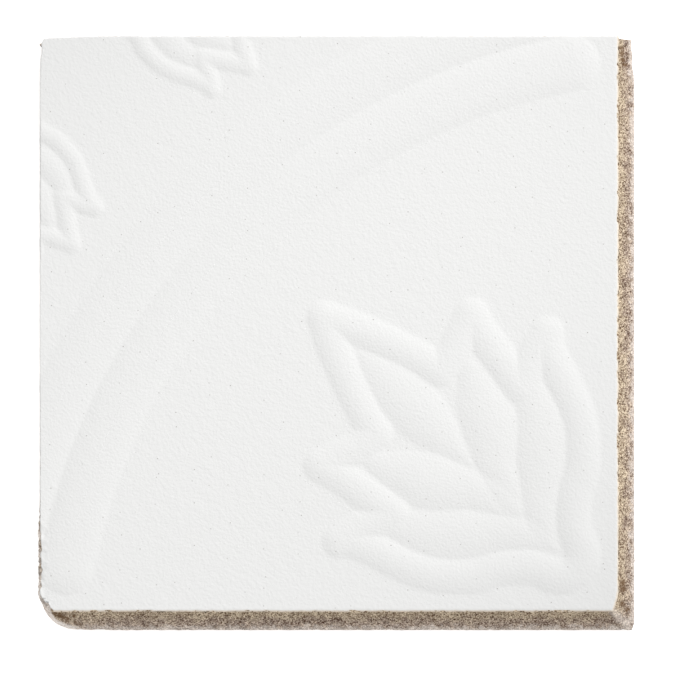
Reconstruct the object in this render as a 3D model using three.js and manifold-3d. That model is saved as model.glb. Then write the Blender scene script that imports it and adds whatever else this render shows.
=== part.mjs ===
// Square mineral fibre ceiling tile with a raised ornament, as one piece of board.
//
// Units are millimetres. The origin is the centre of the flat back, +Z points out of the painted face,
// and +Y is the side that is up when the face is looked at.
//
// How the object goes together: a wet-felted board is pressed against a plate, which leaves raised
// rounded lines and petals on the face. It is then cut square. Two neighbouring edges, at +X and at -Y,
// are planed to a slope below the face, and the corner where the sloped lower edge meets the plain left
// edge is worn round.

import * as THREE from 'three';
import Module from 'manifold-3d';

// Board
const BOARD_WIDTH = 300;
const BOARD_LENGTH = 300;
const BOARD_THICKNESS = 15;
const WORN_CORNER_RADIUS = 18;

// Sloped edges: how far the face is set in, and how far below the face the slope ends
const RIGHT_SLOPE_INSET = 9.5;
const LOWER_SLOPE_INSET = 11;
const SLOPE_DEPTH = 10;

// How deep every raised shape reaches into the board, so that it is one body with it
const ROOT_DEPTH = 2;

// Two raised bands that run as arcs round a centre outside the lower right corner
const ARC_CENTRE_X = 175.7;
const ARC_CENTRE_Y = -176.2;
const MAIN_ARC = { radius: 317.6, halfWidth: 14.1, crest: 0.9, from: 100.4, to: 169.4 };
const OUTER_ARC = { radius: 346, halfWidth: 14.2, crest: 0.75, from: 94, to: 176 };

// Lotus, drawn once with its root at (0, 0), its axis along +X and its upper half on the +Y side
const LOTUS_LINE_HALF_WIDTH = 8.9;
const LOTUS_LINE_CREST = 0.9;

// The outline of one half, stroke by stroke from the root to the tip on the axis
const LOTUS_STROKES = [
  [[11.9, 0], [18.5, 10], [27.5, 14.2], [34.5, 20.8], [41, 29], [45, 37], [52.1, 44.9], [61, 52.5],
    [73.4, 59], [86.8, 63.6], [96, 66.6], [107, 74.2]],
  [[107, 74.2], [104.3, 62.9], [100, 52], [97.6, 45]],
  [[97.6, 45], [107, 47], [118, 48.7], [131.6, 51.2], [140.5, 54]],
  [[140.5, 54], [136.6, 42.6], [133.7, 34.1], [132.3, 22.3]],
  [[132.3, 22.3], [140.9, 20.4], [155.9, 15.6], [174.9, 8.4], [192.2, 0]],
];

// Petals inside the outline, each from its foot to its tip as along, aside and half-width
const LOTUS_CENTRE_PETAL = [
  [83, 0, 0], [87, 0, 1.6], [92.5, 0, 4], [100.5, 0, 6.6], [108, 0, 9.9], [113, 0, 11.6], [117, 0, 13],
  [121.5, 0, 14], [130, 0, 14.4], [138.5, 0, 13.5], [147, 0, 11], [155, 0, 8], [163, 0, 4], [170, 0, 0],
];
const LOTUS_SIDE_PETALS = [
  [[49, 0.3, 0], [55, 2, 2.6], [63, 4.8, 5.3], [71.7, 7.2, 8], [79, 9.6, 10.1], [82.8, 12.4, 11.4],
    [88.6, 16.4, 13.3], [94.6, 20.4, 14.5], [101, 23.5, 13.8], [107.4, 26.3, 11.4], [114.8, 30, 8.8],
    [121.5, 33.2, 6.3], [128, 36.2, 0]],
  [[25, 0.5, 0], [31, 1.8, 2.6], [38, 3.8, 5], [47.3, 8.8, 8.4], [54.5, 15.8, 9.6], [60.9, 23, 11.5],
    [66.9, 29.3, 12.8], [73, 35.6, 12.8], [78.4, 39.9, 11.7], [82.7, 42.5, 10.6], [88.2, 45.6, 8.9],
    [92, 48, 7.5], [97, 53.2, 0]],
];

// Low pads on the axis, where the feet of two mirrored petals flow together
const LOTUS_PADS = [
  [[50, 0, 0], [57, 0, 5.5], [64, 0, 7], [72, 0, 6], [79, 0, 0]],
  [[24, 0, 0], [29, 0, 3], [35, 0, 5], [42, 0, 5.5], [49, 0, 0]],
];

// Height of a petal as a share of its half-width
const PETAL_RISE = 0.065;

// Where the three lotuses sit: root, direction of the axis in degrees, size, and relief for its size
const SMALL_LOTUS_SCALE = 0.555;
const SMALL_LOTUS_RELIEF = 1.25;
const LARGE_LOTUS = { x: 128.95, y: -127.7, direction: 135, scale: 1, relief: 1 };
const LEFT_LOTUS = {
  x: -163.6,
  y: 123.2,
  direction: -90,
  scale: SMALL_LOTUS_SCALE,
  relief: SMALL_LOTUS_RELIEF,
};
const UPPER_LOTUS = {
  x: -122.6,
  y: 164.6,
  direction: 0,
  scale: SMALL_LOTUS_SCALE,
  relief: SMALL_LOTUS_RELIEF,
};

// Facets
const SECTION_FACETS = 6;
const STROKE_STEP = 6;
const ARC_STEP = 12;
const DOME_SIDES = 16;
const PETAL_SIDES = 16;

const wasm = await Module();
wasm.setup();

// Turns a three.js geometry into a closed solid.
function solid(geometry) {
  const source = geometry.index ? geometry.toNonIndexed() : geometry;
  const corners = source.getAttribute('position');
  const known = new Map();
  const places = [];
  const faces = [];
  for (let i = 0; i < corners.count; i += 1) {
    const corner = [corners.getX(i), corners.getY(i), corners.getZ(i)];
    const key = corner.map((value) => Math.round(value * 1e4)).join(',');
    if (!known.has(key)) {
      known.set(key, known.size);
      places.push(...corner);
    }
    faces.push(known.get(key));
  }
  const kept = [];
  for (let i = 0; i < faces.length; i += 3) {
    const [a, b, c] = faces.slice(i, i + 3);
    if (a !== b && b !== c && c !== a) {
      kept.push(a, b, c);
    }
  }
  return new wasm.Manifold(new wasm.Mesh({
    numProp: 3,
    vertProperties: new Float32Array(places),
    triVerts: new Uint32Array(kept),
  }));
}

// Turns a closed solid back into a three.js geometry.
function geometryOf(body) {
  const mesh = body.getMesh();
  const geometry = new THREE.BufferGeometry();
  geometry.setAttribute('position', new THREE.BufferAttribute(new Float32Array(mesh.vertProperties), 3));
  geometry.setIndex(new THREE.BufferAttribute(new Uint32Array(mesh.triVerts), 1));
  const faceted = geometry.toNonIndexed();
  faceted.computeVertexNormals();
  return faceted;
}

// The tile's outline from above: a square with its lower left corner worn round.
function outline() {
  const halfWidth = BOARD_WIDTH / 2;
  const halfLength = BOARD_LENGTH / 2;
  const shape = new THREE.Shape();
  shape.moveTo(halfWidth, -halfLength);
  shape.lineTo(halfWidth, halfLength);
  shape.lineTo(-halfWidth, halfLength);
  shape.lineTo(-halfWidth, -halfLength + WORN_CORNER_RADIUS);
  shape.absarc(
    -halfWidth + WORN_CORNER_RADIUS,
    -halfLength + WORN_CORNER_RADIUS,
    WORN_CORNER_RADIUS,
    Math.PI,
    1.5 * Math.PI,
    false,
  );
  shape.closePath();
  return shape;
}

// The outline drawn upwards from a height, as a closed solid.
function prism(bottom, height) {
  const drawn = { depth: height, bevelEnabled: false, curveSegments: 8 };
  const geometry = new THREE.ExtrudeGeometry(outline(), drawn);
  geometry.translate(0, 0, bottom);
  return solid(geometry);
}

// What is planed off one edge: a triangle in section, run past both ends of the edge. It is made for the
// edge at +X and turned about the vertical for the one at -Y.
function slopeWaste(inset, halfSpan, edgeLength, turn) {
  const past = 5;
  const lift = BOARD_THICKNESS + past;
  const slope = inset / SLOPE_DEPTH;
  const section = new THREE.Shape();
  section.moveTo(halfSpan, BOARD_THICKNESS - SLOPE_DEPTH);
  section.lineTo(halfSpan + past, BOARD_THICKNESS - SLOPE_DEPTH);
  section.lineTo(halfSpan + past, lift);
  section.lineTo(halfSpan - inset - past * slope, lift);
  section.closePath();
  const length = edgeLength + 2 * past;
  const geometry = new THREE.ExtrudeGeometry(section, { depth: length, bevelEnabled: false });
  geometry.rotateX(Math.PI / 2);
  geometry.translate(0, length / 2, 0);
  geometry.rotateZ(turn);
  return solid(geometry);
}

// Half-round section of a raised line, as (height downwards, sideways), with its foot inside the board.
function lineSection(halfWidth, crest) {
  const shape = new THREE.Shape();
  shape.moveTo(ROOT_DEPTH, -halfWidth);
  for (let i = 0; i <= SECTION_FACETS; i += 1) {
    const across = -Math.cos((Math.PI * i) / SECTION_FACETS);
    shape.lineTo(-crest * (1 - across * across), halfWidth * across);
  }
  shape.lineTo(ROOT_DEPTH, halfWidth);
  shape.closePath();
  return shape;
}

// A raised line along a curve that lies in the plane of the face.
function raisedLine(curve, step, halfWidth, crest) {
  const steps = Math.max(2, Math.round(curve.getLength() / step));
  const geometry = new THREE.ExtrudeGeometry(lineSection(halfWidth, crest), { steps, extrudePath: curve });
  return solid(geometry);
}

// The round end of a raised line.
function roundEnd(x, y, halfWidth, crest) {
  const profile = [new THREE.Vector2(0, -ROOT_DEPTH), new THREE.Vector2(halfWidth, -ROOT_DEPTH)];
  for (let i = SECTION_FACETS / 2; i >= 0; i -= 1) {
    const across = Math.sin((Math.PI * i) / SECTION_FACETS);
    profile.push(new THREE.Vector2(halfWidth * across, crest * (1 - across * across)));
  }
  const geometry = new THREE.LatheGeometry(profile, DOME_SIDES);
  geometry.rotateX(Math.PI / 2);
  geometry.translate(x, y, 0);
  return solid(geometry);
}

// A petal on the side given by 1 or -1: a spindle whose rings follow the petal's middle line and half-width.
// It is squashed and sunk by half its height, so that its foot stands at the half-width.
function petal(rings, side) {
  const first = rings[0];
  const last = rings[rings.length - 1];
  const across = new THREE.Vector2(side * (last[1] - first[1]), first[0] - last[0]).normalize();
  const widening = Math.sqrt(4 / 3);
  const profile = rings.map(([, , halfWidth], ring) => new THREE.Vector2(widening * halfWidth, ring));
  const geometry = new THREE.LatheGeometry(profile, PETAL_SIDES);
  const corners = geometry.getAttribute('position');
  for (let i = 0; i < corners.count; i += 1) {
    const [along, aside, halfWidth] = rings[i % rings.length];
    const sideways = corners.getX(i);
    const upward = (corners.getZ(i) * 2 * PETAL_RISE) / widening;
    corners.setXYZ(
      i,
      along + across.x * sideways,
      side * aside + across.y * sideways,
      upward - PETAL_RISE * halfWidth,
    );
  }
  return solid(geometry);
}

// One stroke of the lotus outline, on the side given by 1 or -1.
function stroke(points, side) {
  const bends = points.map(([x, y]) => new THREE.Vector3(x, side * y, 0));
  return new THREE.CatmullRomCurve3(bends, false, 'centripetal');
}

// The whole lotus about its own axis, before it is set in place.
function lotus(step) {
  const shapes = [];
  for (const side of [1, -1]) {
    for (const points of LOTUS_STROKES) {
      const [tipX, tipY] = points[points.length - 1];
      shapes.push(raisedLine(stroke(points, side), step, LOTUS_LINE_HALF_WIDTH, LOTUS_LINE_CREST));
      shapes.push(roundEnd(tipX, side * tipY, LOTUS_LINE_HALF_WIDTH, LOTUS_LINE_CREST));
    }
    for (const rings of LOTUS_SIDE_PETALS) {
      shapes.push(petal(rings, side));
    }
  }
  const [rootX, rootY] = LOTUS_STROKES[0][0];
  shapes.push(roundEnd(rootX, rootY, LOTUS_LINE_HALF_WIDTH, LOTUS_LINE_CREST));
  for (const rings of [LOTUS_CENTRE_PETAL, ...LOTUS_PADS]) {
    shapes.push(petal(rings, 1));
  }
  return wasm.Manifold.union(shapes);
}

// A lotus turned, sized and set on the face.
function placed(flower, { x, y, direction, scale, relief }) {
  return flower
    .scale([scale, scale, scale * relief])
    .rotate([0, 0, direction])
    .translate([x, y, BOARD_THICKNESS]);
}

// A raised band on a circle about the arc centre, between two angles in degrees.
function raisedArc({ radius, halfWidth, crest, from, to }) {
  const start = THREE.MathUtils.degToRad(from);
  const end = THREE.MathUtils.degToRad(to);
  const bends = [];
  const count = 24;
  for (let i = 0; i <= count; i += 1) {
    const angle = start + ((end - start) * i) / count;
    bends.push(new THREE.Vector3(
      ARC_CENTRE_X + radius * Math.cos(angle),
      ARC_CENTRE_Y + radius * Math.sin(angle),
      0,
    ));
  }
  const shapes = [raisedLine(new THREE.CatmullRomCurve3(bends), ARC_STEP, halfWidth, crest)];
  for (const point of [bends[0], bends[count]]) {
    shapes.push(roundEnd(point.x, point.y, halfWidth, crest));
  }
  return wasm.Manifold.union(shapes).translate([0, 0, BOARD_THICKNESS]);
}

// Board with its two sloped edges
const board = prism(0, BOARD_THICKNESS)
  .subtract(slopeWaste(RIGHT_SLOPE_INSET, BOARD_WIDTH / 2, BOARD_LENGTH, 0))
  .subtract(slopeWaste(LOWER_SLOPE_INSET, BOARD_LENGTH / 2, BOARD_WIDTH, -Math.PI / 2));

// Everything raised, trimmed by the tile's outline where it runs off the tile
const ornament = wasm.Manifold.union([
  placed(lotus(STROKE_STEP), LARGE_LOTUS),
  placed(lotus(STROKE_STEP * 2), LEFT_LOTUS),
  placed(lotus(STROKE_STEP * 2), UPPER_LOTUS),
  raisedArc(MAIN_ARC),
  raisedArc(OUTER_ARC),
]).intersect(prism(BOARD_THICKNESS - ROOT_DEPTH, 3 * ROOT_DEPTH));

const tile = new THREE.Mesh(
  geometryOf(board.add(ornament)),
  new THREE.MeshStandardMaterial({ color: 0xeeeeec, roughness: 0.9, metalness: 0 }),
);
tile.name = 'ceiling_tile';

const object = new THREE.Group();
object.name = 'mineral_fibre_ceiling_tile';
object.add(tile);

export default object;
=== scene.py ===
import bpy
import numpy as np
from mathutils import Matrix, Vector


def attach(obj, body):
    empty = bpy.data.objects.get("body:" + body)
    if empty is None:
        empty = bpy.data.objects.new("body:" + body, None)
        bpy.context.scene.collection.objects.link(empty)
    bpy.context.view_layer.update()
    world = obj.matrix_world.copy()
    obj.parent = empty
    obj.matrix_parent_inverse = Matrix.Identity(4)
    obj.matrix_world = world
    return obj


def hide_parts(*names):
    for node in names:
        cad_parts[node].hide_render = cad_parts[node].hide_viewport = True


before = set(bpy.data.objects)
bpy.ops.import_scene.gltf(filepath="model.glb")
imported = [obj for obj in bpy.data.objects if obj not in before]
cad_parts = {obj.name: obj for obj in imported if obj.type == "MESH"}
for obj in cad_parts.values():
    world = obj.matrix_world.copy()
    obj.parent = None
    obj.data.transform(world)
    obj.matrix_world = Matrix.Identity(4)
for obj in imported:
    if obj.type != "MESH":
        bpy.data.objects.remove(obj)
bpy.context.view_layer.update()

# FELTED BOARD
# One slab of wet-felted mineral fibre, 300 x 300 x 15 mm, buff right through. Two neighbouring edges are
# planed to a slope and the other two are sawn square. Handling has worn its lower corners and left edge.

# Lengths are in millimetres from the centre of the flat back, with the face upwards.
MM = 0.001
HALF = 150.0
THICKNESS = 15.0
# The bare fibre ends just under the coat, and its outline has a point every half millimetre
BOARD_TOP = 14.85
BOARD_STEP = 0.5
SLOPE_DEPTH = 10.0
SLOPE_FOOT = THICKNESS - SLOPE_DEPTH
RIGHT_INSET = 9.5
LOWER_INSET = 11.0
# The slopes are hollow by this share of their inset, and their upper arris is rounded over by this much
SLOPE_HOLLOW = 0.3
ROUNDING = 0.7
# The worn lower left corner: its radius at the back, its centre both ways, and how much smaller the radius
# is at the face
WORN_RADIUS = 18.0
WORN_CENTRE = WORN_RADIUS - HALF
WORN_BEVEL = 3.0
# The blunt lower right corner: how far it is cut back along either edge, at four heights
CUT_HEIGHTS = [0, 5, 9, 15]
CUT_ALONG_LOWER = [0.7, 1.2, 4.5, 2.5]
CUT_ALONG_RIGHT = [3, 4, 9, 10]
# Chips off the right edge below the face, up to its end at the upper corner, as (depth, y)
RIGHT_CHIPS = [(0, 126), (0.3, 131), (1.3, 136), (0.9, 140), (1.5, 145)]
RIGHT_END_CHIP = 1.4
# Beyond the face's own corner, the upper edge stands back by this much
FACE_CORNER = HALF - RIGHT_INSET + 0.6
UPPER_SET_BACK = 1.4
# The upper edge from right to left as (x, depth), and the left edge from the top down as (depth, y)
UPPER_CHIPS = [(-118, 0), (-134, 0.6), (-144, 1.0), (2 - HALF, 1.4)]
LEFT_CHIPS = [(2.0, HALF - 1.4), (0.8, 146.2), (0.9, 142.8), (0.3, 137.7), (0, 130), (0, -108)]
# The hip where the two slopes meet: where it starts below the face, its run in plan, and its length
HIP_START = (138.6, -139.6)
HIP_RUN = (0.72, -0.69)
HIP_LENGTH = 14
# How pale the foot of the slopes is, and how strong the painted highlight along the hip is, against 1 at the
# worn corner
FOOT_PALENESS = 0.55
HIP_HIGHLIGHT = 0.45
# The left edge is torn past this x. A loose fringe stands out there by the first length, give or take the
# second. A single crumb of fibre stands out near the upper corner
TORN_PAST = -146
FRINGE_REACH = 0.5
FRINGE_SPREAD = 0.7
CRUMB_Y = 145.7
CRUMB_WIDTH = 0.6
CRUMB_REACH = 1.2
# The fibre's roughness as (height, size) of each noise in it, and the depth of the pits between
ROUGHNESS = [(0.14, 2.6), (0.18, 1.3), (0.14, 5.0)]
PIT_DEPTH = 0.4
# Brown spots where the binder has gathered, as (x, y, radius)
STAINS = [
    (144.1, -125.4, 2.6), (144.3, -128.6, 2.4), (143.6, -136.3, 2.0), (146.9, -139.9, 2.2),
    (137.6, -141.4, 1.6),
    (143.0, 144.2, 1.8), (143.5, 141.2, 2.3), (143.8, 138.4, 2.0), (145.2, 135.6, 1.6),
    (-144.2, -140.8, 1.4), (-142.3, -141.3, 1.7), (-140.2, -142.0, 1.8), (-138.3, -143.1, 2.1),
    (-136.5, -144.1, 2.1), (-133.0, -142.6, 1.5), (-132.3, -146.2, 1.4), (-130.0, -146.8, 1.4),
]


def value_noise(points, size, seed):
    """Smooth noise from -1 to 1: random values on a cubic lattice of the given size in mm, faded into
    each other by a quintic curve. The random value of a lattice point is a hash of its three numbers."""
    scaled = points / size
    cell = np.floor(scaled).astype(np.int64)
    part = scaled - cell
    fade = part ** 3 * (part * (part * 6 - 15) + 10)
    total = np.zeros(len(points))
    for corner in range(8):
        step = np.array([corner & 1, corner >> 1 & 1, corner >> 2 & 1])
        weight = np.prod(np.where(step, fade, 1 - fade), axis=1)
        key = (cell + step) * [73856093, 19349663, 83492791]
        mixed = key[:, 0] ^ key[:, 1] ^ key[:, 2] ^ seed * 2654435761
        mixed = (mixed ^ mixed >> 13) * 1274126177 & 0xFFFFFFFF
        mixed = (mixed ^ mixed >> 16) * 2246822519 & 0xFFFFFFFF
        total += weight * ((mixed >> 8) / float(0xFFFFFF) * 2 - 1)
    return total


def smooth(value, low, high):
    """Rises from 0 at low to 1 at high along a cubic with flat ends."""
    t = np.clip((value - low) / (high - low), 0, 1)
    return t * t * (3 - 2 * t)


def bevel(height):
    """How far the worn corner has shrunk at a height: a straight line from 0, 2 mm above the back, to 1 at
    the face."""
    return np.clip((height - 2) / (THICKNESS - 2), 0, 1)


def worn_arc(height, low):
    """The worn corner in plan, from the left edge to the lower edge at y = low. It is a circle about the
    corner's centre whose radius shrinks by the bevel, and this fades in over the first 0.4 radians."""
    shrunk = WORN_BEVEL * bevel(height)
    sweep = np.arcsin(np.clip((WORN_CENTRE - low) / (WORN_RADIUS - shrunk), 0, 1))
    turn = np.linspace(0, sweep, 24)
    radius = WORN_RADIUS - shrunk * smooth(turn, 0, 0.4)
    return WORN_CENTRE - radius[:, None] * np.stack([np.cos(turn), np.sin(turn)], axis=1)


def blunt_corner(height, right, low):
    """The lower right corner in plan: a quadratic curve from the lower edge to the right edge, whose middle
    point lies inside the square corner."""
    cut = np.interp(height, CUT_HEIGHTS, CUT_ALONG_LOWER)
    span = np.interp(height, CUT_HEIGHTS, CUT_ALONG_RIGHT)
    start, pull, end = np.array([
        [right - cut, low], [right - 0.45 * cut, low + 0.35 * span], [right, low + span]])
    t = np.linspace(0, 1, 12)[:, None]
    return (1 - t) ** 2 * start + 2 * t * (1 - t) * pull + t ** 2 * end


def sides(height):
    """The four sides of the board's outline at a height above its back: left going down, lower going
    right, right going up, upper going left. From the foot of the slope the sloped sides move in by their
    inset along a shallow parabola, and along a second one in the last millimetre, where the arris is
    rounded. The chips of the right edge fade out between 8 and 12 mm up, and the set-back of the upper edge
    just below the coat."""
    rise = np.clip((height - SLOPE_FOOT) / SLOPE_DEPTH, 0, 1)
    planed = (1 + SLOPE_HOLLOW) * rise - SLOPE_HOLLOW * rise ** 2
    rounded = ROUNDING * np.clip(height - THICKNESS + 1, 0, 1) ** 2
    right = HALF - (RIGHT_INSET - ROUNDING) * planed - rounded
    low = -HALF + (LOWER_INSET - ROUNDING) * planed + rounded
    left = np.concatenate([np.array(LEFT_CHIPS) - [HALF, 0], worn_arc(height, low)])
    corner = blunt_corner(height, right, low)
    lower = [left[-1], (-116, low), corner[0]]
    chipping = 1 - smooth(height, 8, 12)
    end_y = HALF - UPPER_SET_BACK * (1 - smooth(height, 13.6, 14.6))
    top = [(right - chipping * depth, y) for depth, y in RIGHT_CHIPS]
    top.append((right - chipping * RIGHT_END_CHIP, end_y))
    face_end = min(right, FACE_CORNER) - 0.3
    upper = [top[-1], (face_end, end_y), (face_end - 0.7, HALF)]
    upper += [(x, HALF - depth) for x, depth in UPPER_CHIPS]
    return left, np.array(lower), np.concatenate([corner, top]), np.array(upper)


def along(path, count):
    """Points at equal spacing by length on an open path, without its last point."""
    run = np.concatenate([[0], np.cumsum(np.hypot(*np.diff(path, axis=0).T))])
    want = np.linspace(0, run[-1], count + 1)[:-1]
    return np.stack([np.interp(want, run, path[:, k]) for k in range(2)], axis=1)


def outline(height, count):
    """The whole outline at a height as one closed ring with the same count of points on each side."""
    return np.concatenate([along(side, count) for side in sides(height)])


def paleness_of_cuts(x, y, z, wobble):
    """How pale the cuts are, from 0 to 1: wear at the worn corner, paler fibre at the foot of the slopes,
    and a painted highlight along the hip between them. It is the highest of three smooth steps, each of a
    distance that the wobble frays. They are taken from the round of the worn corner, which spreads 0.7 mm
    further on its lower side, from the foot of the slopes, and from the hip between them."""
    in_corner = (x < WORN_CENTRE) & (y < WORN_CENTRE)
    from_arc = np.hypot(x - WORN_CENTRE, y - WORN_CENTRE) - WORN_RADIUS + WORN_BEVEL * bevel(z)
    from_arc += 0.7 * smooth(-y, 142, 146)
    at_corner = in_corner * smooth(from_arc + 0.45 * wobble, -0.7, 0.2)
    sloped = (x > 100) | (y < -100)
    at_foot = sloped * (1 - smooth(z + 1.6 * wobble, 5.4, 7.6)) * smooth(z + wobble, 3.2, 5)
    # The hip's paleness is a painted highlight where the lit hip catches the light.
    past_x, past_y = x - HIP_START[0], y - HIP_START[1]
    run = np.clip(past_x * HIP_RUN[0] + past_y * HIP_RUN[1], 0, HIP_LENGTH)
    from_hip = np.hypot(past_x - HIP_RUN[0] * run, past_y - HIP_RUN[1] * run)
    at_hip = 1 - smooth(from_hip + 0.9 * wobble, 0.8, 3.4)
    return np.max([at_corner, FOOT_PALENESS * at_foot, HIP_HIGHLIGHT * at_hip], axis=0)


def stained(x, y, wobble):
    """How brown the binder has made the fibre, from 0 to 0.8: a smooth step around each spot's centre."""
    brown = np.zeros(len(x))
    for spot_x, spot_y, radius in STAINS:
        away = np.hypot(x - spot_x, y - spot_y) + 0.6 * wobble
        brown = np.maximum(brown, 0.8 * (1 - smooth(away, 0.35 * radius, radius)))
    return brown


def stand_out(points, wear):
    """How far the fibre stands out of a cut: the sum of the roughness noises, less a pit wherever one more
    noise is high. Wear, with the pale foot and the painted hip highlight that share its mask, flattens it,
    and so does the coat in the last millimetre."""
    out = sum(high * value_noise(points, size, seed) for seed, (high, size) in enumerate(ROUGHNESS, 1))
    out -= PIT_DEPTH * smooth(value_noise(points, 1.4, 4), 0.25, 0.7)
    return out * (1 - 0.6 * wear) * (1 - 0.85 * smooth(points[:, 2], 13.4, 14.6))


def ring_quads(rings, around, first=0):
    """Quads between closed rings of points, ring by ring upwards, each ring running anticlockwise."""
    ring, place = np.meshgrid(np.arange(rings - 1), np.arange(around), indexing="ij")
    this, following = ring * around + place, ring * around + (place + 1) % around
    return first + np.stack([this, following, following + around, this + around], axis=-1).reshape(-1, 4)


def mesh_object(name, corners, faces, material, **values):
    """A mesh object from an array of corners in mm and a list of arrays of faces, all of one length in
    each. Each further value is an array with one number a corner, kept as an attribute for the material."""
    mesh = bpy.data.meshes.new(name)
    sizes = np.concatenate([np.full(len(f), f.shape[1]) for f in faces])
    mesh.vertices.add(len(corners))
    mesh.vertices.foreach_set("co", (corners * MM).astype(np.float32).ravel())
    mesh.loops.add(int(sizes.sum()))
    mesh.loops.foreach_set("vertex_index", np.concatenate([f.ravel() for f in faces]).astype(np.int32))
    mesh.polygons.add(len(sizes))
    mesh.polygons.foreach_set("loop_start", (np.cumsum(sizes) - sizes).astype(np.int32))
    mesh.update(calc_edges=True)
    mesh.validate()
    mesh.polygons.foreach_set("use_smooth", np.full(len(sizes), True))
    for key, numbers in values.items():
        mesh.attributes.new(key, "FLOAT", "POINT").data.foreach_set("value", numbers.astype(np.float32))
    mesh.materials.append(material)
    piece = bpy.data.objects.new(name, mesh)
    bpy.context.collection.objects.link(piece)
    return piece


def linear(code):
    """An sRGB hex value as the linear colour that a shader takes."""
    parts = [int(code[k:k + 2], 16) / 255 for k in (0, 2, 4)]
    return (*(p / 12.92 if p <= 0.04045 else ((p + 0.055) / 1.055) ** 2.4 for p in parts), 1)


def node(tree, kind, inputs=(), **settings):
    """Adds one node: settings are its own properties, and inputs pairs each socket with a value or with
    another node's output."""
    made = tree.nodes.new(kind)
    for key, value in settings.items():
        setattr(made, key, value)
    for key, value in dict(inputs).items():
        if isinstance(value, bpy.types.NodeSocket):
            tree.links.new(value, made.inputs[key])
        else:
            made.inputs[key].default_value = value
    return made


# Bare felted mineral fibre, planed and sawn. Single fibres, a tenth of a millimetre thick, are too fine to
# show, so the strands are drawn as bundles 0.7 mm apart, with painted shade in the gaps between them and
# dark pits 0.9 mm apart that are painted shade in the pores, in cloudy patches of 6 mm. The slopes are
# yellower near the face, worn places and the foot of the slopes are pale and dull, the hip has a painted
# highlight, and nothing shines.
fibre = bpy.data.materials.new("sawn_felted_mineral_fibre")
fibre.use_nodes = True
tree = fibre.node_tree
shader = tree.nodes["Principled BSDF"]
place = node(tree, "ShaderNodeTexCoord").outputs["Object"]
strands = node(tree, "ShaderNodeTexNoise", {
    "Vector": place, "Scale": 1 / (0.72 * MM),
    "Detail": 1, "Roughness": 0.5, "Distortion": 0.8}).outputs["Fac"]
pits = node(tree, "ShaderNodeTexNoise", {
    "Vector": place, "Scale": 1 / (0.9 * MM),
    "Detail": 1, "Roughness": 0.5, "Distortion": 1.0}).outputs["Fac"]
patches = node(tree, "ShaderNodeTexNoise", {
    "Vector": place, "Scale": 1 / (6 * MM), "Detail": 2, "Roughness": 0.5}).outputs["Fac"]
above_back = node(tree, "ShaderNodeSeparateXYZ", {"Vector": place}).outputs["Z"]
uneven = node(tree, "ShaderNodeMath", {
    0: patches, 1: 10 * MM, 2: above_back}, operation="MULTIPLY_ADD").outputs[0]
yellowing = node(tree, "ShaderNodeMapRange", {
    "Value": uneven, "From Min": 12 * MM, "From Max": 18 * MM}, interpolation_type="SMOOTHSTEP").outputs[0]
crests = node(tree, "ShaderNodeMix", {
    "Factor": yellowing, 6: linear("DDCAB8"), 7: linear("E6D4B9")}, data_type="RGBA").outputs[2]
# The gaps between strands take a dark colour: painted shade.
gap_shade = node(tree, "ShaderNodeMix", {
    "Factor": yellowing, 6: linear("5B4336"), 7: linear("6B523B")}, data_type="RGBA").outputs[2]
cloudy = node(tree, "ShaderNodeMath", {0: patches, 1: 0.3, 2: strands}, operation="MULTIPLY_ADD").outputs[0]
lit = node(tree, "ShaderNodeMapRange", {"Value": cloudy, "From Min": 0.5, "From Max": 0.79}).outputs[0]
body = node(tree, "ShaderNodeMix", {"Factor": lit, 6: gap_shade, 7: crests}, data_type="RGBA").outputs[2]
# Dark pits in the fibre are painted shade in its pores.
hollow = node(tree, "ShaderNodeMapRange", {
    "Value": pits, "From Min": 0.43, "From Max": 0.33}, interpolation_type="SMOOTHSTEP").outputs[0]
with_pit_shade = node(tree, "ShaderNodeMix", {
    "Factor": hollow, 6: body, 7: linear("58432F")}, data_type="RGBA").outputs[2]
how_brown = node(tree, "ShaderNodeAttribute", attribute_name="stain").outputs["Fac"]
browned = node(tree, "ShaderNodeMix", {
    "Factor": how_brown, 6: with_pit_shade, 7: linear("664A2F")}, data_type="RGBA").outputs[2]
# This attribute holds real wear and also the painted highlight along the hip.
wear_and_highlight_amount = node(tree, "ShaderNodeAttribute", attribute_name="wear").outputs["Fac"]
pale = node(tree, "ShaderNodeMix", {
    "Factor": lit, 6: linear("D6C9BF"), 7: linear("F8F0E9")}, data_type="RGBA").outputs[2]
worn_and_highlit = node(tree, "ShaderNodeMix", {
    "Factor": wear_and_highlight_amount, 6: browned, 7: pale}, data_type="RGBA").outputs[2]
tree.links.new(worn_and_highlit, shader.inputs["Base Color"])
strand_bump = node(tree, "ShaderNodeBump", {"Height": strands, "Distance": 0.6 * MM, "Strength": 0.8})
tree.links.new(strand_bump.outputs["Normal"], shader.inputs["Normal"])
shader.inputs["Roughness"].default_value = 0.95
shader.inputs["Specular IOR Level"].default_value = 0.2

# Rings up the walls, with the normal of each point. The first and last ring keep theirs level.
levels = np.concatenate([
    np.linspace(0, SLOPE_FOOT, 9), np.linspace(SLOPE_FOOT + 0.5, 14, 18), [14.3, 14.6, BOARD_TOP]])
rings = np.array([outline(level, int(2 * HALF / BOARD_STEP)) for level in levels])
around = rings.shape[1]
walls = np.concatenate([rings, np.repeat(levels[:, None, None], around, axis=1)], axis=2)
outward = np.cross(np.roll(walls, -1, axis=1) - np.roll(walls, 1, axis=1), np.gradient(walls, axis=0))
outward[[0, -1], :, 2] = 0
outward = (outward / np.linalg.norm(outward, axis=2, keepdims=True)).reshape(-1, 3)
walls = walls.reshape(-1, 3)
x, y, z = walls.T
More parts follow.
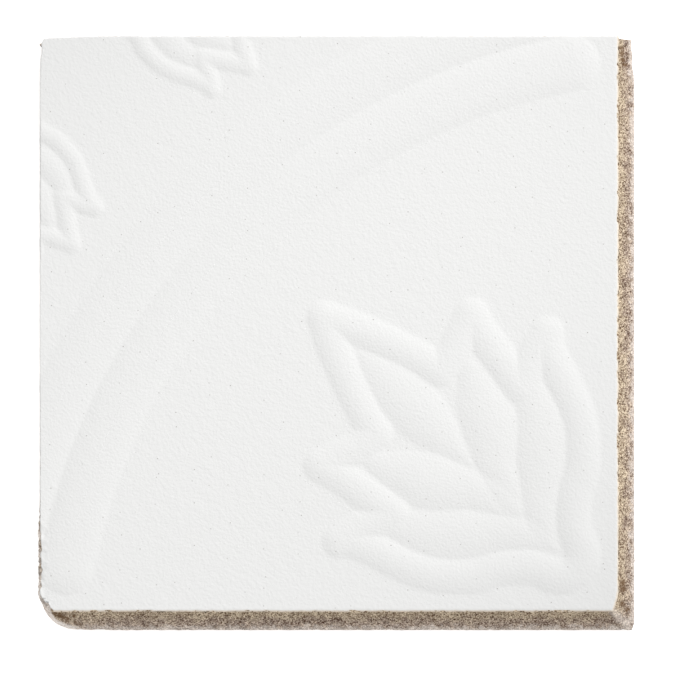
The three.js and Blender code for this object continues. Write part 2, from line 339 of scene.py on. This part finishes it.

# Wear with the painted hip highlight, stains and roughness, with the torn left edge from 7 mm up: pale in
# spots all along, and a loose fringe near its lower end. The foot of the lower edge is rubbed back by 0.2
# mm.
edge_wobble = value_noise(walls, 1.6, 7)
wear = paleness_of_cuts(x, y, z, edge_wobble)
rough = stand_out(walls, wear)
torn = (x < TORN_PAST) * smooth(z, 7, 11)
fringe = torn * smooth(-y, 80, 100) * smooth(y, -144, -136)
rough += fringe * (FRINGE_REACH + FRINGE_SPREAD * value_noise(walls, 1.4, 5))
crumb = torn * np.exp(-((y - CRUMB_Y) / CRUMB_WIDTH) ** 2)
rough += CRUMB_REACH * crumb - 0.2 * smooth(-y, 146, 149.5)
wear = np.max([wear, torn * (0.3 + 0.6 * smooth(edge_wobble, -0.4, 0)), crumb], axis=0)
stain = stained(x, y, edge_wobble)

# A plain ring inside the rim, below and above, keeps wear, painted highlight and stains off the back and the
# hidden top.
corners = walls + outward * rough[:, None]
corners = np.concatenate([corners[:around] * [0.99, 0.99, 1], corners, corners[-around:] * [0.98, 0.98, 1]])
ring_count = len(levels) + 2
caps = [np.arange(around)[::-1][None, :], (np.arange(around) + (ring_count - 1) * around)[None, :]]
board = mesh_object(
    "felted_board", corners, [ring_quads(ring_count, around), *caps], fibre,
    wear=np.pad(wear, around), stain=np.pad(stain, around))
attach(board, "root")
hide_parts("ceiling_tile")

# PAINTED FACE
# The pressed top of the same board under its coat of matt white spray paint. A plate pressed two wide arcs
# and three lotus flowers into it as low rounded ridges, and the coat ends in a ragged line at each cut.

FACE_CELLS = 304
# The two arcs as (radius, half-width, slope at the foot, first and last angle in degrees) about one centre
ARC_CENTRE = (175.7, -176.2)
ARCS = [(317.6, 14.1, 0.155, 100.4, 169.4), (346, 14.2, 0.13, 94, 176)]
ARC_FLATNESS = 2.4
# One half of a lotus in its own frame, root at (0, 0) and axis along the first number. Each ridge is a list
# of (along, aside, half-width) in mm at points of its middle line. All lines leave the ground at one slope,
# and all petals at another.
LINE_SLOPE = 0.2
LINES = [
    [(11.9, 0, 9.2), (13.6, 5.8, 9.4), (18.5, 10, 9.4), (27.5, 14.2, 9), (34.5, 20.8, 8.9), (41, 29, 8.9),
     (45, 37, 8.9), (52.1, 44.9, 8.9), (61, 52.5, 8.9), (73.4, 59, 8.9), (86.8, 63.6, 8.9), (96, 66.6, 8.9),
     (103, 70.2, 8.9), (107, 74.2, 8.9)],
    [(107, 74.2, 8.9), (104.3, 62.9, 8.9), (100, 52, 8.9), (97.6, 45, 8.9)],
    [(97.6, 45, 8.9), (107, 47, 9), (118, 48.7, 9.2), (131.6, 51.2, 8.9), (140.5, 54, 8.9)],
    [(140.5, 54, 8.9), (136.6, 42.6, 8.9), (133.7, 34.1, 8.9), (132.3, 22.3, 8.9)],
    [(132.3, 22.3, 8.9), (140.9, 20.4, 8.9), (155.9, 15.6, 8.9), (174.9, 8.4, 8.9), (192.2, 0, 8.9)],
]
PETAL_SLOPE = 0.13
PETALS = [
    [(170, 0, 0.5), (163, 0, 4), (155, 0, 8), (147, 0, 11), (138.5, 0, 13.5), (130, 0, 14.4),
     (121.5, 0, 14), (117, 0, 13), (113, 0, 11.6), (108, 0, 9.9), (100.5, 0, 6.6), (92.5, 0, 4),
     (87, 0, 1.6), (83, 0, 0.3)],
    [(127, 35.8, 1.5), (121.5, 33.2, 6.3), (114.8, 30, 8.8), (107.4, 26.3, 11.4), (101, 23.5, 13.8),
     (94.6, 20.4, 14.5), (88.6, 16.4, 13.3), (82.8, 12.4, 11.4), (79, 9.6, 10.1), (71.7, 7.2, 8),
     (63, 4.8, 5.3), (55, 2, 2.6), (50.5, 0.3, 0.8)],
    [(96, 52.5, 2.5), (92, 48, 7.5), (88.2, 45.6, 8.9), (82.7, 42.5, 10.6), (78.4, 39.9, 11.7),
     (73, 35.6, 12.8), (66.9, 29.3, 12.8), (60.9, 23, 11.5), (54.5, 15.8, 9.6), (47.3, 8.8, 8.4),
     (38, 3.8, 5), (31, 1.8, 2.6), (26, 0.6, 0.8)],
    # low pads on the axis, where the feet of two mirrored petals flow together
    [(79, 0, 0.5), (72, 0, 6), (64, 0, 7), (57, 0, 5.5), (51, 0, 1.2)],
    [(48, 0, 1), (42, 0, 5.5), (35, 0, 5), (29, 0, 3), (25, 0, 0.8)],
]
# Root, direction of the axis in degrees, size, and relief for its size, of each lotus
FLOWERS = [
    ((128.95, -127.7), 135, 1.0, 1.0),
    ((-163.6, 123.2), -90, 0.555, 1.25),
    ((-122.6, 164.6), 0, 0.555, 1.25),
]
# The coat wraps over each cut: heights of its rings there, and how thin it is at each
COAT_RINGS = [(14.3, 1), (14.7, 0.7), (14.93, 0.3)]
COAT_LAP = 0.08
# Where the left edge is torn, the coat has come away by this much
CHIPPED_BY = 1.1


def stroke(points):
    """A curve through the points whose spans are timed by the square root of their length. Each span
    blends three straight lines through its four nearest points, in turn over three of the points and then
    over the middle two."""
    points = np.array(points, dtype=float)
    points = np.concatenate([[2 * points[0] - points[1]], points, [2 * points[-1] - points[-2]]])
    drawn = []
    for p0, p1, p2, p3 in zip(points, points[1:], points[2:], points[3:]):
        t1 = np.linalg.norm(p1 - p0) ** 0.5
        t2 = t1 + np.linalg.norm(p2 - p1) ** 0.5
        t3 = t2 + np.linalg.norm(p3 - p2) ** 0.5
        t = np.linspace(t1, t2, 7)[:, None]
        a1 = p0 + (p1 - p0) * t / t1
        a2 = p1 + (p2 - p1) * (t - t1) / (t2 - t1)
        a3 = p2 + (p3 - p2) * (t - t2) / (t3 - t2)
        b1 = a1 + (a2 - a1) * t / t2
        b2 = a2 + (a3 - a2) * (t - t1) / (t3 - t1)
        drawn.append(b1 + (b2 - b1) * (t - t1) / (t2 - t1))
    return np.concatenate(drawn)


def ridge(points, path, slope):
    """The height of a ridge whose middle line is a chain of straight spans, each corner given as (x, y,
    half-width). Across, it is a parabola that leaves the ground at the given slope on both sides."""
    highest = np.zeros(len(points))
    for start, end in zip(path, path[1:]):
        span = (end - start)[:2]
        length = span @ span
        if length < 1e-12:
            continue
        t = np.clip((points - start[:2]) @ span / length, 0, 1)
        away = np.sum((points - start[:2] - t[:, None] * span) ** 2, axis=1)
        half_width = start[2] + t * (end[2] - start[2])
        highest = np.maximum(highest, slope / 2 * (half_width - away / half_width))
    return highest


def flower(points, root, direction, size, relief):
    """One lotus: the highest of its lines and petals, both halves alike. Points are first turned and scaled
    into its own frame, and only those within its reach are worked out."""
    turn = np.radians(direction)
    moved = (points - root) / size
    own = np.stack([moved @ [np.cos(turn), np.sin(turn)], moved @ [-np.sin(turn), np.cos(turn)]], axis=1)
    height = np.zeros(len(points))
    near = (own[:, 0] > -20) & (own[:, 0] < 210) & (np.abs(own[:, 1]) < 95)
    folded = np.column_stack([own[near, 0], np.abs(own[near, 1])])
    ridges = [(stroke(path), LINE_SLOPE) for path in LINES]
    ridges += [(stroke(path), PETAL_SLOPE) for path in PETALS]
    height[near] = size * relief * np.max([ridge(folded, *which) for which in ridges], axis=0)
    return height


def raised_arc(points, radius, half_width, slope, first, last):
    """A ridge on a circle about the arc centre between two angles in degrees, with round ends. It is
    flatter in the middle than a parabola: the height falls with a power of the distance from the middle
    line that is a little more than 2."""
    out = points - ARC_CENTRE
    angle = np.clip(np.degrees(np.arctan2(out[:, 1], out[:, 0])), first, last)
    nearest = radius * np.stack([np.cos(np.radians(angle)), np.sin(np.radians(angle))], axis=1)
    share = np.hypot(*(out - nearest).T) / half_width
    return slope * half_width / ARC_FLATNESS * np.clip(1 - share ** ARC_FLATNESS, 0, None)


def ornament(points):
    """The height of the face above its plain ground: the highest of all that is raised there."""
    flowers = [flower(points, *which) for which in FLOWERS]
    return np.max(flowers + [raised_arc(points, *which) for which in ARCS], axis=0)


def noise_in_plan(points, size, seed):
    """The value noise of points in a plane, taken at height 0."""
    return value_noise(np.pad(points, ((0, 0), (0, 1))), size, seed)


def outward_of(ring):
    """Unit normals of a closed ring that runs anticlockwise: its direction at each point, turned clockwise
    by a quarter."""
    run = np.roll(ring, -1, axis=0) - np.roll(ring, 1, axis=0)
    return np.column_stack([run[:, 1], -run[:, 0]]) / np.linalg.norm(run, axis=1, keepdims=True)


def filled(ring, cells):
    """A square grid of points between the four equal sides of a closed ring, row by row from the lower one.
    It adds the straight lines from side to side both ways, and takes off those between the four corners."""
    closed = np.concatenate([ring, ring[:1]])
    west, south, east, north = (closed[k * cells:(k + 1) * cells + 1] for k in range(4))
    west, north = west[::-1], north[::-1]
    u = np.linspace(0, 1, cells + 1)[None, :, None]
    v = np.linspace(0, 1, cells + 1)[:, None, None]
    lines = (1 - u) * west[:, None] + u * east[:, None] + (1 - v) * south[None] + v * north[None]
    corners = (1 - u) * (1 - v) * west[0] + u * (1 - v) * east[0]
    corners = corners + (1 - u) * v * west[-1] + u * v * east[-1]
    return (lines - corners).reshape(-1, 2)


# Matt white spray paint over pressed fibre. The coat is chalky and has no gloss, with a grain of about 1 mm
# and some hundreds of pinholes, 1 mm or less, where a pit in the fibre shows through; their dark grey is
# painted shade in the holes. Where it wraps over a cut it thins out to cream.
paint = bpy.data.materials.new("matt_white_spray_paint")
paint.use_nodes = True
tree = paint.node_tree
shader = tree.nodes["Principled BSDF"]
place = node(tree, "ShaderNodeTexCoord").outputs["Object"]
grain = node(tree, "ShaderNodeTexNoise", {
    "Vector": place, "Scale": 1 / (1.3 * MM), "Detail": 1, "Roughness": 0.5}).outputs["Fac"]
swell = node(tree, "ShaderNodeTexNoise", {
    "Vector": place, "Scale": 1 / (6 * MM), "Detail": 2, "Roughness": 0.5}).outputs["Fac"]
holes = node(tree, "ShaderNodeTexVoronoi", {
    "Vector": place, "Scale": 1 / (9 * MM)}, voronoi_dimensions="2D")
spot = node(tree, "ShaderNodeMapRange", {
    "Value": holes.outputs["Distance"], "From Min": 0.05, "From Max": 0.012},
    interpolation_type="SMOOTHSTEP").outputs[0]
chance = node(tree, "ShaderNodeSeparateColor", {"Color": holes.outputs["Color"]}).outputs["Red"]
depth = node(tree, "ShaderNodeMapRange", {
    "Value": chance, "From Min": 0.5, "From Max": 1.0, "To Max": 0.6}).outputs[0]
# The pinholes' dark grey is painted shade inside the holes.
pinhole_shade = node(tree, "ShaderNodeMath", {0: spot, 1: depth}, operation="MULTIPLY").outputs[0]
how_thin = node(tree, "ShaderNodeAttribute", attribute_name="thin").outputs["Fac"]
coat = node(tree, "ShaderNodeMix", {
    "Factor": how_thin, 6: linear("E7E7E6"), 7: linear("E2D3BF")}, data_type="RGBA").outputs[2]
with_pinhole_shade = node(tree, "ShaderNodeMix", {
    "Factor": pinhole_shade, 6: coat, 7: linear("6F675E")}, data_type="RGBA").outputs[2]
tree.links.new(with_pinhole_shade, shader.inputs["Base Color"])
swell_bump = node(tree, "ShaderNodeBump", {"Height": swell, "Distance": 0.16 * MM})
grain_bump = node(tree, "ShaderNodeBump", {
    "Height": grain, "Distance": 0.2 * MM, "Normal": swell_bump.outputs["Normal"]})
tree.links.new(grain_bump.outputs["Normal"], shader.inputs["Normal"])
shader.inputs["Roughness"].default_value = 0.9
shader.inputs["Specular IOR Level"].default_value = 0.2

# The rim of the coat, with the strip that has come away in patches along the lower half of the left edge
rim_ring = outline(THICKNESS, FACE_CELLS)
rim_outward = outward_of(rim_ring)
rim_x, rim_y = rim_ring.T
chipped = (rim_x < -144) * (0.15 * smooth(-rim_y, 40, 60) + 0.85 * smooth(-rim_y, 88, 118))
chipped *= np.clip(0.8 + 0.9 * noise_in_plan(rim_ring, 2.6, 15), 0, 1)
rim_ring = rim_ring - CHIPPED_BY * chipped[:, None] * rim_outward
ragged = (0.12 + 0.5 * chipped) * noise_in_plan(rim_ring, 1.4, 11) + 0.14 * noise_in_plan(rim_ring, 3.6, 12)

# The face as a grid inside its rim, with the relief and some flaking along the chipped strip
ground = filled(rim_ring, FACE_CELLS)
index = np.arange(len(ground)).reshape(FACE_CELLS + 1, -1)
rim = np.concatenate([index[::-1, 0][:-1], index[0, :-1], index[:-1, -1], index[-1, ::-1][:-1]])
ground[rim] += rim_outward * ragged[:, None]
flaking = (1 - smooth(ground[:, 0], -148.5, -145)) * smooth(-ground[:, 1], 90, 100)
height = THICKNESS + ornament(ground) + flaking * (0.05 + 0.35 * noise_in_plan(ground, 1.7, 13))

# The skirt of the coat over the cuts, whose lowest ring dips up and down by 0.35 mm
skirt = []
for level, _ in COAT_RINGS:
    ring = outline(level, FACE_CELLS) + rim_outward * (ragged + COAT_LAP - CHIPPED_BY * chipped)[:, None]
    dip = 0.35 * noise_in_plan(ring, 1.2, 14) if not skirt else 0
    skirt.append(np.column_stack([ring, np.full(len(ring), level) + dip]))
thin = np.repeat([thinness for _, thinness in COAT_RINGS], len(rim))
thin = np.concatenate([np.zeros(len(ground)), thin])

first = len(ground)
quads = np.stack([index[:-1, :-1], index[:-1, 1:], index[1:, 1:], index[1:, :-1]], axis=-1).reshape(-1, 4)
under = ring_quads(len(skirt), len(rim), first)
last_ring = first + (len(skirt) - 1) * len(rim) + np.arange(len(rim))
joined = np.stack([last_ring, np.roll(last_ring, -1), np.roll(rim, -1), rim], axis=-1)
bottom = (first + np.arange(len(rim)))[::-1][None, :]
corners = np.concatenate([np.column_stack([ground, height]), *skirt])
face = mesh_object("painted_face", corners, [quads, under, joined, bottom], paint, thin=thin)
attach(face, "root")
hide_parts("ceiling_tile")

# STUDIO
# The tile lies flat on a white table. One gridded softbox lights it from the upper right, and white walls
# around fill the shadows.

# From here on lengths are in metres. The table lies just below the tile's back and fills every view.
TABLE_HALF = 15
TABLE_TOP = -0.0003
table_corners = [
    (TABLE_HALF * x, TABLE_HALF * y, TABLE_TOP) for x, y in ((-1, -1), (1, -1), (1, 1), (-1, 1))]
table_mesh = bpy.data.meshes.new("table")
table_mesh.from_pydata(table_corners, [], [(0, 1, 2, 3)])
table = bpy.data.objects.new("table", table_mesh)
bpy.context.collection.objects.link(table)

# Matt white card that reflects nearly all light, and gives off some of its own, so that the ground stays
# as white as the photograph's
CARD_WHITE = 0.95
card = bpy.data.materials.new("matt_white_card")
card.use_nodes = True
shader = card.node_tree.nodes["Principled BSDF"]
shader.inputs["Base Color"].default_value = (CARD_WHITE, CARD_WHITE, CARD_WHITE, 1)
shader.inputs["Roughness"].default_value = 1
shader.inputs["Emission Color"].default_value = linear("FFFFFF")
shader.inputs["Emission Strength"].default_value = 0.6
table_mesh.materials.append(card)

room = bpy.data.worlds.new("white_room")
room.use_nodes = True
room.node_tree.nodes["Background"].inputs["Color"].default_value = linear("FFFFFF")
room.node_tree.nodes["Background"].inputs["Strength"].default_value = 0.6
bpy.context.scene.world = room

# The softbox is narrow in its beam, so that the light falls off a little towards the far corner
LIGHT_AZIMUTH, LIGHT_ELEVATION, LIGHT_DISTANCE = np.radians(44.5), np.radians(40), 5.0
LIGHT_TARGET = Vector((-0.064, -0.028, 0))
light_data = bpy.data.lights.new("softbox", "SPOT")
light_data.shadow_soft_size = 0.12
light_data.spot_size = np.radians(10)
light_data.spot_blend = 1
light_data.energy = 770
light = bpy.data.objects.new("softbox", light_data)
light.location = (
    LIGHT_DISTANCE * np.cos(LIGHT_ELEVATION) * np.cos(LIGHT_AZIMUTH),
    LIGHT_DISTANCE * np.cos(LIGHT_ELEVATION) * np.sin(LIGHT_AZIMUTH),
    LIGHT_DISTANCE * np.sin(LIGHT_ELEVATION),
)
light.rotation_euler = (light.location - LIGHT_TARGET).to_track_quat("Z", "Y").to_euler()
bpy.context.collection.objects.link(light)

# The camera looks straight down from 3 m. SEEN_WIDTH is what it sees across, 5 mm above the table.
CAMERA_PLACE = (-0.00005, -0.0019, 3.0)
SEEN_WIDTH = 0.3413
SEEN_AT = 0.005
camera_data = bpy.data.cameras.new("camera")
camera_data.sensor_width = 36
camera_data.lens = camera_data.sensor_width * (CAMERA_PLACE[2] - SEEN_AT) / SEEN_WIDTH
camera_data.clip_end = 50
camera = bpy.data.objects.new("camera", camera_data)
camera.location = CAMERA_PLACE
bpy.context.collection.objects.link(camera)
bpy.context.scene.camera = camera
bpy.context.scene.view_settings.view_transform = "Standard"
